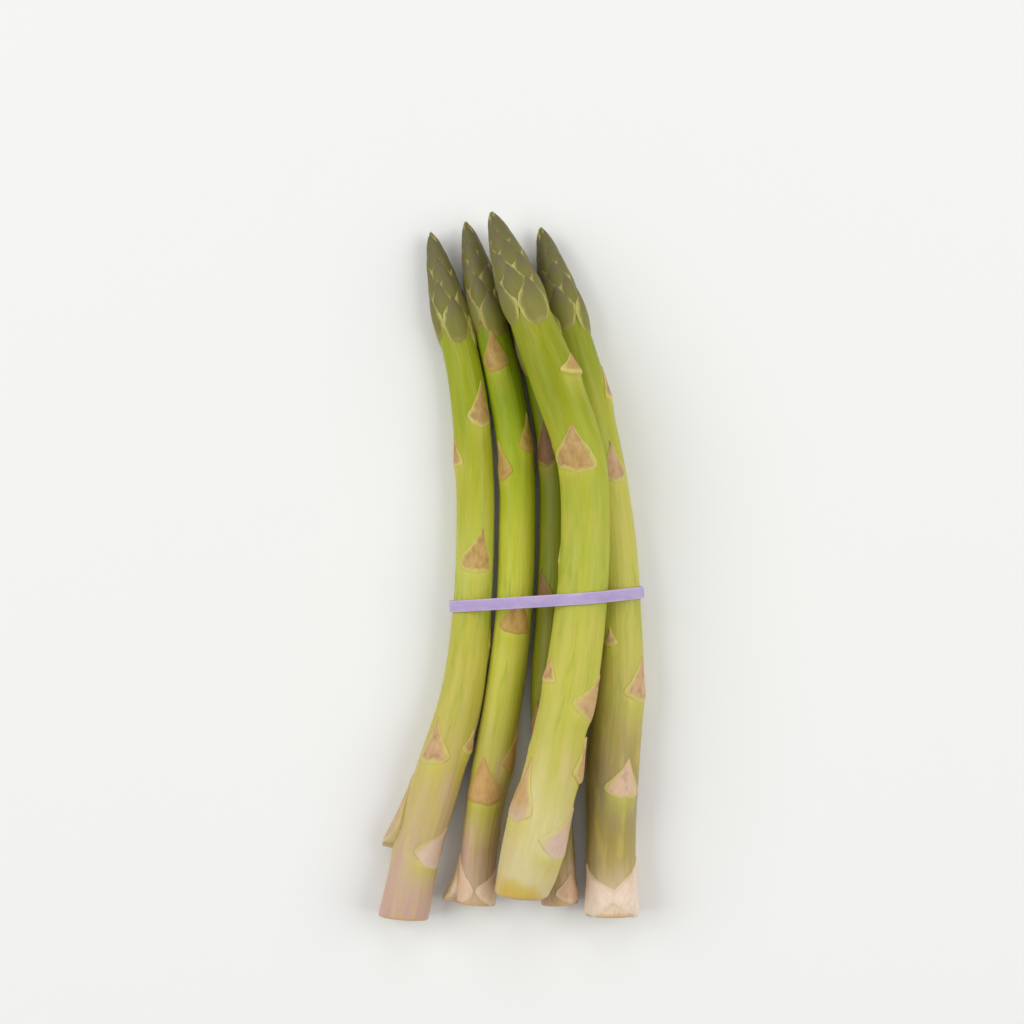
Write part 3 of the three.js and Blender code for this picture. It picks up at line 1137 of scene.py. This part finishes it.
@dataclass
class Spear:
    """One asparagus spear, from its flat sheet of skin to the bent and dressed piece."""

    plan: SpearPlan
    patterns: Mapping[ScaleKind, Piece]
    rows_along: int = 400
    rows_round: int = 64
    tip_scales: int = 30
    tip_crowding: float = 1.3
    tip_scale_length: Pair = (15, 8)
    tip_scale_spread: Pair = (42, 72)
    tip_scale_lift: Pair = (1.8, 0.7)
    tip_scale_lean: float = 8
    golden_angle: float = 137.5
    hidden_start: float = 20
    hidden_step: float = 27
    hidden_shift: float = 3
    hidden_swing: Pair = (0.7, 1.0)
    hidden_turn: float = 42
    hidden_length: float = 14
    hidden_spread: float = 44
    hidden_lean: float = 6
    band_room: float = 17
    spur_lift: float = 2.0
    foot_bow: float = 0.14
    foot_swell: float = 0.55
    swell_reach: Pair = (3.4, 1.6)
    glow_reach: Pair = (6.0, 2.0)
    glow_spread: float = 1.25
    side_ripple: float = 1.5
    outline_ripples: tuple[Pair, ...] = ((4, 0.022), (9, 0.016), (19, 0.01))
    cut_margin: float = 0.5
    cut_rounding: float = 0.4
    cut_rings: tuple[Pair, ...] = (
        (0.96, -0.35), (0.88, -0.05), (0.75, 0.05), (0.6, 0.1), (0.3, 0.0),
    )
    cut_slot: int = 2
    seam_width: float = 0.01
    skin_band: float = 1e-4
    end_band: float = 1e-6
    weld: float = 1e-5
    press_depth: float = 0.15
    slant_reach: float = 25.0
    smooth_angle: float = 48
    line: SpearLine = field(init=False)
    chance: random.Random = field(init=False)
    rod: Piece = field(init=False)

    def __post_init__(self) -> None:
        """Work out the spear's line and start its own stream of chance."""
        self.line = SpearLine(self.plan.line)
        self.chance = random.Random(self.plan.spiral_start)

    def build(self) -> None:
        """Make the spear: scales laid on flat skin, rolled up, closed, bent and dressed."""
        wanted = (*self.plan.scales, *self.underside_places())
        places = [self.clear_of_cut(place) for place in wanted]
        self.rod = self.skin_sheet(places)
        parts = [self.lay(place, self.kind_of(place)) for place in places]
        parts += [self.lay(place, ScaleKind.TIP) for place in self.tip_places()]
        self.roll_up(parts)
        self.close_ends()
        self.bend()
        self.dress()

    def clear_of_cut(self, place: ScalePlace) -> ScalePlace:
        """Return the scale moved up, where its foot would hang over the cut."""
        least = self.foot_bow * place.length + self.cut_margin
        return replace(place, along=max(place.along, least))

    def kind_of(self, place: ScalePlace) -> ScaleKind:
        """Return the kind of a scale on the stem: spurred, if it stands far off."""
        return ScaleKind.SPURRED if place.lift > self.spur_lift else ScaleKind.STEM

    def skin_sheet(self, places: Sequence[ScalePlace]) -> Piece:
        """Lay out the bare skin flat: its length along X, and once round the stem along Z.

        Args:
            places: The scales whose feet swell the skin.

        Returns:
            The sheet.
        """
        start = self.cut_rounding * MM
        size = Matrix.Diagonal((self.line.length - start, 1, 2 * math.pi, 1))
        place = Matrix.Translation((start, 0, 0)) @ size @ Matrix.Translation((0.5, 0, 0))
        sheet = flat_grid(self.rows_along, self.rows_round, place)
        points = points_of(sheet)
        swell, glow = self.foot_marks(points, places)
        radius = np.interp(points[:, 0], self.line.along, self.line.radii)
        points[:, 1] -= swell / radius
        move_points(sheet, points)
        self.mark(sheet, glow, 0.0, (0.0, 0.0, 0.0))
        return sheet

    @staticmethod
    def mark(piece: Piece, glow: Array | float, chance: float, leaf_kind: Triple) -> None:
        """Store what the finishes read on every point of the skin or of a scale.

        Args:
            piece: The skin or the scale.
            glow: How much the point pales below a scale's foot.
            chance: The scale's own number.
            leaf_kind: The scale's length, and whether it is spurred and whether it is of the tip.
        """
        every = np.ones(len(piece.data.vertices))
        add_attribute(piece, "glow", every * glow)
        add_attribute(piece, "chance", every * chance)
        add_attribute(piece, "leaf_kind", np.outer(every, leaf_kind))

    def foot_marks(self, points: Array, places: Sequence[ScalePlace]) -> tuple[Array, Array]:
        """Work out how the skin swells and pales below the foot of each scale.

        Args:
            points: The flat sheet's points.
            places: The scales on it.

        Returns:
            The swelling in metres, and the paleness from 0 to 1, at each point.
        """
        swell, glow = np.zeros((2, len(points)))
        for place in places:
            turn = math.radians(place.turn)
            apart = np.abs((-points[:, 2] - turn + math.pi) % (2 * math.pi) - math.pi)
            across = apart / math.radians(place.spread)
            inside = np.clip(1 - across**2, 0, 1)
            past_foot = points[:, 0] / MM - place.along + self.foot_bow * place.length * inside
            ridge, halo = (
                np.exp(-((past_foot / np.where(past_foot < 0, *reach)) ** 2))
                for reach in (self.swell_reach, self.glow_reach)
            )
            swell = np.maximum(swell, self.foot_swell * MM * ridge * np.sqrt(inside))
            glow = np.maximum(glow, halo * np.clip(self.glow_spread - across**2, 0, 1))
        return swell, glow

    def lay(self, place: ScalePlace, kind: ScaleKind) -> Piece:
        """Copy a pattern and lay it on the flat sheet.

        Args:
            place: Where it goes, and its size.
            kind: Which pattern.

        Returns:
            The copy, with its own mesh.
        """
        copy = add_object("scale", self.patterns[kind].data.copy())
        length = place.length * MM
        radius = self.line.radius_at(place.along * MM + length / 2)
        width = math.radians(place.spread) * radius
        lean = math.atan2(math.radians(place.lean) * radius, length)
        size = Matrix.Diagonal((length, place.lift * MM, width, 1))
        to_sheet = Matrix.Diagonal((1, 1 / radius, 1 / radius, 1))
        put = Matrix.Translation((place.along * MM, 0, -math.radians(place.turn)))
        self.roughen(copy)
        copy.data.transform(put @ to_sheet @ Matrix.Rotation(lean, 4, "Y") @ size)
        leaf_kind = (length, float(kind is ScaleKind.SPURRED), float(kind is ScaleKind.TIP))
        self.mark(copy, 0.0, self.chance.random(), leaf_kind)
        return copy

    def roughen(self, leaf: Piece) -> None:
        """Make a scale's outline uneven: ripples across its foot, and along its sides.

        Args:
            leaf: The scale, still as its pattern is.
        """
        points = points_of(leaf)
        share = np.clip(points[:, 0], 0, 1)
        foot, sides = np.zeros((2, len(points)))
        for pace, depth in self.outline_ripples:
            foot += depth * np.sin(pace * points[:, 2] + self.chance.uniform(0, math.tau))
            sides += depth * np.sin(pace * share + self.chance.uniform(0, math.tau))
        points[:, 0] += foot * (1 - share)
        points[:, 2] *= 1 + self.side_ripple * sides
        move_points(leaf, points)

    def underside_places(self) -> list[ScalePlace]:
        """Place scales on the underside, to and fro about straight down, clear of the band.

        Returns:
            Their places.
        """
        places = []
        end = self.line.length / MM - self.line.tip_length - self.hidden_step / 2
        for count, along in enumerate(np.arange(self.hidden_start, end, self.hidden_step)):
            side = 1 if count % 2 else -1
            turn = 180 + side * self.hidden_turn * self.chance.uniform(*self.hidden_swing)
            lean = self.chance.uniform(-self.hidden_lean, self.hidden_lean)
            foot = along + self.chance.uniform(-self.hidden_shift, self.hidden_shift)
            middle = (foot + self.hidden_length / 2) * MM
            y = np.interp(middle, self.line.along, self.line.centres[:, 1]) / MM
            if abs(y - self.line.band_y) > self.band_room:
                places.append(ScalePlace(foot, turn, self.hidden_length, self.hidden_spread, lean))
        return places

    def tip_places(self) -> list[ScalePlace]:
        """Place the overlapping scales of the tip, which spiral up it by the golden angle.

        Returns:
            Their places.
        """
        places = []
        ends = (self.tip_scale_length, self.tip_scale_spread, self.tip_scale_lift)
        reach = self.line.tip_length - self.tip_scale_length[1]
        start = self.line.length / MM - self.line.tip_length
        for count in range(self.tip_scales):
            share = count / (self.tip_scales - 1)
            along = start + reach * (1 - (1 - share) ** self.tip_crowding)
            turn = (self.plan.spiral_start + count * self.golden_angle + 180) % 360 - 180
            length, spread, lift = (blend(*pair, share) for pair in ends)
            lean = self.chance.uniform(-self.tip_scale_lean, self.tip_scale_lean)
            places.append(ScalePlace(along, turn, length, spread, lean, lift))
        return places

    def roll_up(self, parts: Sequence[Piece]) -> None:
        """Join the scales to the sheet and roll it up into a rod along X, one unit in radius.

        Args:
            parts: The scales laid on it.
        """
        finish, node, length = self.plan.finish, self.plan.node, self.line.length
        self.rod.data.materials.append(finish.make_skin(f"{node}_skin", length))
        dry = finish.make_scale(f"{node}_scales", length)
        for part in parts:
            part.data.materials.append(dry)
        pick(self.rod)
        for part in parts:
            part.select_set(True)
        bpy.ops.object.join()
        once_round = float(np.ptp(points_of(self.rod)[:, 2]))
        roll = {"deform_method": "BEND", "deform_axis": "X", "angle": once_round}
        apply_modifier(self.rod, "SIMPLE_DEFORM", **roll)
        turn = Matrix.Rotation(-math.pi / 2, 4, "X")
        self.rod.data.transform(turn @ Matrix.Translation((0, -1, 0)))

    def close_ends(self) -> None:
        """Sew the rod's seam, draw its far end together and give it a cut face."""
        points = points_of(self.rod)
        skin = np.arange(len(points)) < (self.rows_along + 1) * (self.rows_round + 1)
        seam = (points[:, 2] < 0) & (np.abs(points[:, 1]) < self.seam_width)
        with editing(self.rod, np.flatnonzero(skin & seam)):
            bpy.ops.mesh.remove_doubles(threshold=self.weld)
        points = points_of(self.rod)
        on_skin = np.abs(np.hypot(points[:, 1], points[:, 2]) - 1) < self.skin_band
        at_point = points[:, 0] > self.line.length - self.end_band
        with editing(self.rod, np.flatnonzero(on_skin & at_point)):
            bpy.ops.mesh.merge(type="CENTER")
        self.cut_face()

    def cut_face(self) -> None:
        """Close the foot with a slightly domed cut, in its own finish."""
        self.rod.data.materials.append(CutFinish().make(f"{self.plan.node}_cut"))
        before = len(self.rod.data.vertices)
        with editing(self.rod, self.foot_points()):
            bpy.ops.mesh.edge_face_add()
            for shrink, depth in self.cut_rings:
                step = (depth * MM, 0, 0)
                bpy.ops.mesh.extrude_region_move(TRANSFORM_OT_translate={"value": step})
                bpy.ops.transform.resize(value=(1, shrink, shrink), center_override=(0, 0, 0))
            bpy.ops.mesh.merge(type="CENTER")
        for face in self.rod.data.polygons:
            if max(face.vertices) >= before:
                face.material_index = self.cut_slot

    def foot_points(self) -> list[int]:
        """Find the open edge at the foot.

        Returns:
            The numbers of its points.
        """
        at_foot = points_of(self.rod)[:, 0] < self.cut_rounding * MM + self.end_band
        counts = Counter(edge for face in self.rod.data.polygons for edge in face.edge_keys)
        points = {point for edge, count in counts.items() if count == 1 for point in edge}
        return sorted(point for point in points if at_foot[point])

    def bend(self) -> None:
        """Bend the rod along its line, slant its cut and ease what is under the table on to it."""
        straight = points_of(self.rod)
        add_attribute(self.rod, "rod", straight)
        curve = self.line.curve(f"{self.plan.node}_line")
        apply_modifier(self.rod, "CURVE", object=curve, deform_axis="POS_X")
        bpy.data.objects.remove(curve)
        radius = np.interp(straight[:, 0], self.line.along, self.line.radii)
        near_cut = np.clip(1 - straight[:, 0] / (self.slant_reach * MM), 0, 1) ** 2
        slide = -self.plan.cut_slant * near_cut * straight[:, 1] * radius
        points = points_of(self.rod) + np.outer(slide, self.line.start_direction)
        soft = self.press_depth * MM
        pressed = soft * np.exp(np.minimum(points[:, 2] / soft - 1, 0))
        points[:, 2] = np.where(points[:, 2] < soft, pressed, points[:, 2])
        move_points(self.rod, points)

    def dress(self) -> None:
        """Name the piece, smooth it and put it in the frame."""
        pick(self.rod)
        bpy.ops.object.shade_smooth_by_angle(angle=math.radians(self.smooth_angle))
        self.rod.name = f"{self.plan.node}_dressed"
        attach(self.rod, "root")
        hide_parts(self.plan.node)
        points = points_of(self.rod)
        off = np.abs(np.array((points.min(0), points.max(0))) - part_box(self.plan.node)).max() / MM
        faces = len(self.rod.data.polygons)
        log.info("%s: %d faces, within %.1f mm of its node's box", self.rod.name, faces, off)


# ---------- the band


@dataclass
class ElasticBand:
    """The flat elastic band, pulled tight round the spears."""

    lines: Sequence[SpearLine]
    y: float = -12.9 * MM
    slant: float = 0.074
    width: float = 4 * MM
    thickness: float = 0.9 * MM
    gap: float = 0.45 * MM
    rounding: float = 0.25 * MM
    disc_sides: int = 96
    smooth_angle: float = 35

    def build(self) -> None:
        """Make the band and dress it."""
        band = self.tight_loop()
        apply_modifier(band, "SOLIDIFY", thickness=self.thickness, offset=1.0)
        bevel = {"width": self.rounding, "segments": 2, "limit_method": "ANGLE", "angle_limit": 1.0}
        apply_modifier(band, "BEVEL", **bevel)
        turn = Matrix.Rotation(math.atan(self.slant), 4, "Z")
        band.data.transform(Matrix.Translation((0, self.y, 0)) @ turn)
        rubber = RubberFinish().make("elastic_rubber", self.y, self.slant, self.width)
        band.data.materials.append(rubber)
        pick(band)
        bpy.ops.object.shade_smooth_by_angle(angle=math.radians(self.smooth_angle))
        band.name = "elastic_band_dressed"
        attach(band, "root")
        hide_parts("elastic_band")
        log.info("%s: %d faces", band.name, len(band.data.polygons))

    def tight_loop(self) -> Piece:
        """Wrap the tightest loop round a disc for each spear.

        Returns:
            The loop's bare wall, facing out.
        """
        deselect_all()
        discs = []
        for line in self.lines:
            centre, radius = line.at_y(self.y)
            centre, radius = line.at_y(self.y + self.slant * centre.x)
            bpy.ops.mesh.primitive_cylinder_add(
                vertices=self.disc_sides,
                radius=radius + self.gap,
                depth=self.width,
                location=(centre.x * math.hypot(1, self.slant), 0, centre.z),
                rotation=(math.pi / 2, 0, 0),
            )
            discs.append(bpy.context.object)
        for disc in discs:
            settle(disc)
            disc.select_set(True)
        bpy.ops.object.join()
        loop = bpy.context.object
        with editing(loop):
            bpy.ops.mesh.convex_hull()
        ends = [face.index for face in loop.data.polygons if abs(face.normal.y) > 0.5]
        with editing(loop, ends, "FACE"):
            bpy.ops.mesh.delete(type="FACE")
            bpy.ops.mesh.select_all(action="SELECT")
            bpy.ops.mesh.tris_convert_to_quads()
        return loop


# ---------- studio


@dataclass
class Studio:
    """The pale floor, the soft light and the camera straight above."""

    view_width: float = 348.2 * MM
    view_centre: Triple = (0.12 * MM, 17.85 * MM, 14 * MM)
    lens: float = 100.0
    sensor: float = 36.0
    nearest: float = 0.01
    floor_size: float = 24.0
    floor_drop: float = 0.1 * MM
    fill: float = 0.3

    def build(self) -> None:
        """Set up the floor, lights, surroundings and camera."""
        self.floor()
        self.light("left", place=(-1.9, 0.35, 1.7), size=2.0, power=40.0)
        self.light("right", place=(1.9, 0.2, 1.7), size=2.0, power=37.0)
        self.light("head", place=(0.2, 2.0, 2.0), size=1.8, power=12.0)
        self.surroundings()
        self.camera()
        bpy.context.scene.view_settings.view_transform = "Standard"

    def floor(self) -> None:
        """Lay the floor just under the bundle."""
        deselect_all()
        bpy.ops.mesh.primitive_plane_add(size=self.floor_size, location=(0, 0, -self.floor_drop))
        floor = bpy.context.object
        floor.name = "floor"
        settle(floor)
        floor.data.materials.append(FloorFinish().make("pale_floor"))

    def light(self, name: str, place: Triple, size: float, power: float) -> None:
        """Hang a soft square light that faces the bundle.

        Args:
            name: The light's name.
            place: Where it hangs, in metres.
            size: Its side, in metres.
            power: Its power, in watts.
        """
        data = bpy.data.lights.new(name, "AREA")
        data.shape = "SQUARE"
        data.size = size
        data.energy = power
        lamp = add_object(name, data)
        lamp.location = place
        lamp.rotation_euler = (-Vector(place)).to_track_quat("-Z", "Y").to_euler()

    def surroundings(self) -> None:
        """Fill the shadows with even pale light."""
        world = bpy.data.worlds.new("surroundings")
        world.use_nodes = True
        backdrop = world.node_tree.nodes["Background"]
        backdrop.inputs["Color"].default_value = (1.0, 1.0, 1.0, 1.0)
        backdrop.inputs["Strength"].default_value = self.fill
        bpy.context.scene.world = world

    def camera(self) -> None:
        """Look straight down, with the tips at the top of the view."""
        data = bpy.data.cameras.new("camera")
        data.lens = self.lens
        data.sensor_width = self.sensor
        data.clip_start = self.nearest
        eye = add_object("camera", data)
        height = self.view_width * self.lens / self.sensor
        eye.location = Vector(self.view_centre) + Vector((0, 0, height))
        bpy.context.scene.camera = eye


# ---------- main


def main() -> None:
    """Build the bundle piece by piece, then the studio."""
    logging.basicConfig(level=logging.INFO, format="%(name)s: %(message)s")
    patterns = {kind: ScalePattern(kind).build() for kind in ScaleKind}
    spears = [Spear(plan, patterns) for plan in SPEARS]
    for spear in spears:
        spear.build()
    for pattern in patterns.values():
        bpy.data.objects.remove(pattern)
    ElasticBand([spear.line for spear in spears]).build()
    Studio().build()


if __name__ == "__main__":
    main()
